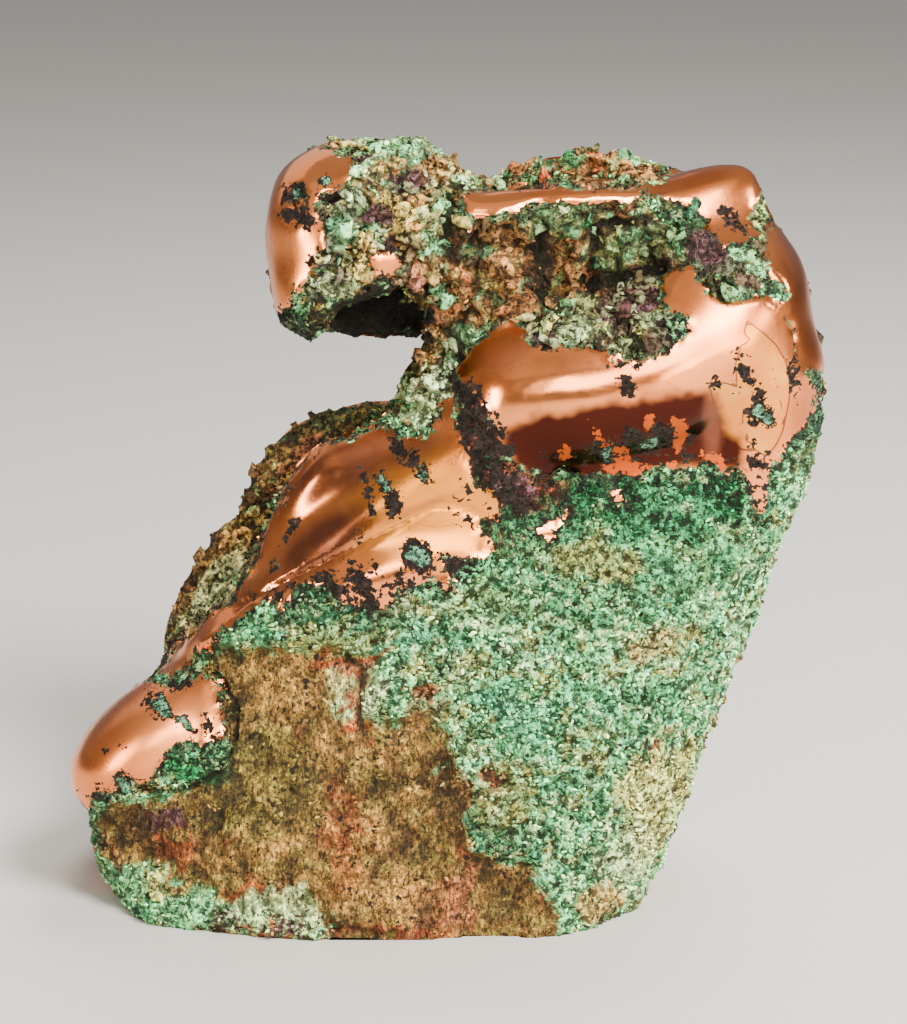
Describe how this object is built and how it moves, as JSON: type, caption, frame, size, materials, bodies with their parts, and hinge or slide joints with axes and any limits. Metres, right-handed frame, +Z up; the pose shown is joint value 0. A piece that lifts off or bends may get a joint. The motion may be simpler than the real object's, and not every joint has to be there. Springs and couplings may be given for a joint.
{
  "type": "native copper nugget",
  "caption": "Leaning native copper nugget with polished ridges, green malachite crust and a flat cut base to stand on.",
  "frame": {"origin": "under the middle of the nugget's box, on the flat cut base", "axes": "+X to the nugget's right, towards its overhanging shoulder; +Y to its back; +Z up"},
  "size_m": [0.1742, 0.084, 0.1785],
  "materials": {
    "copper": "native copper, polished on its ridges and crusted with green malachite and dark cuprite elsewhere"
  },
  "bodies": {
    "root": {"copper_nugget": "copper"}
  },
  "joints": []
}
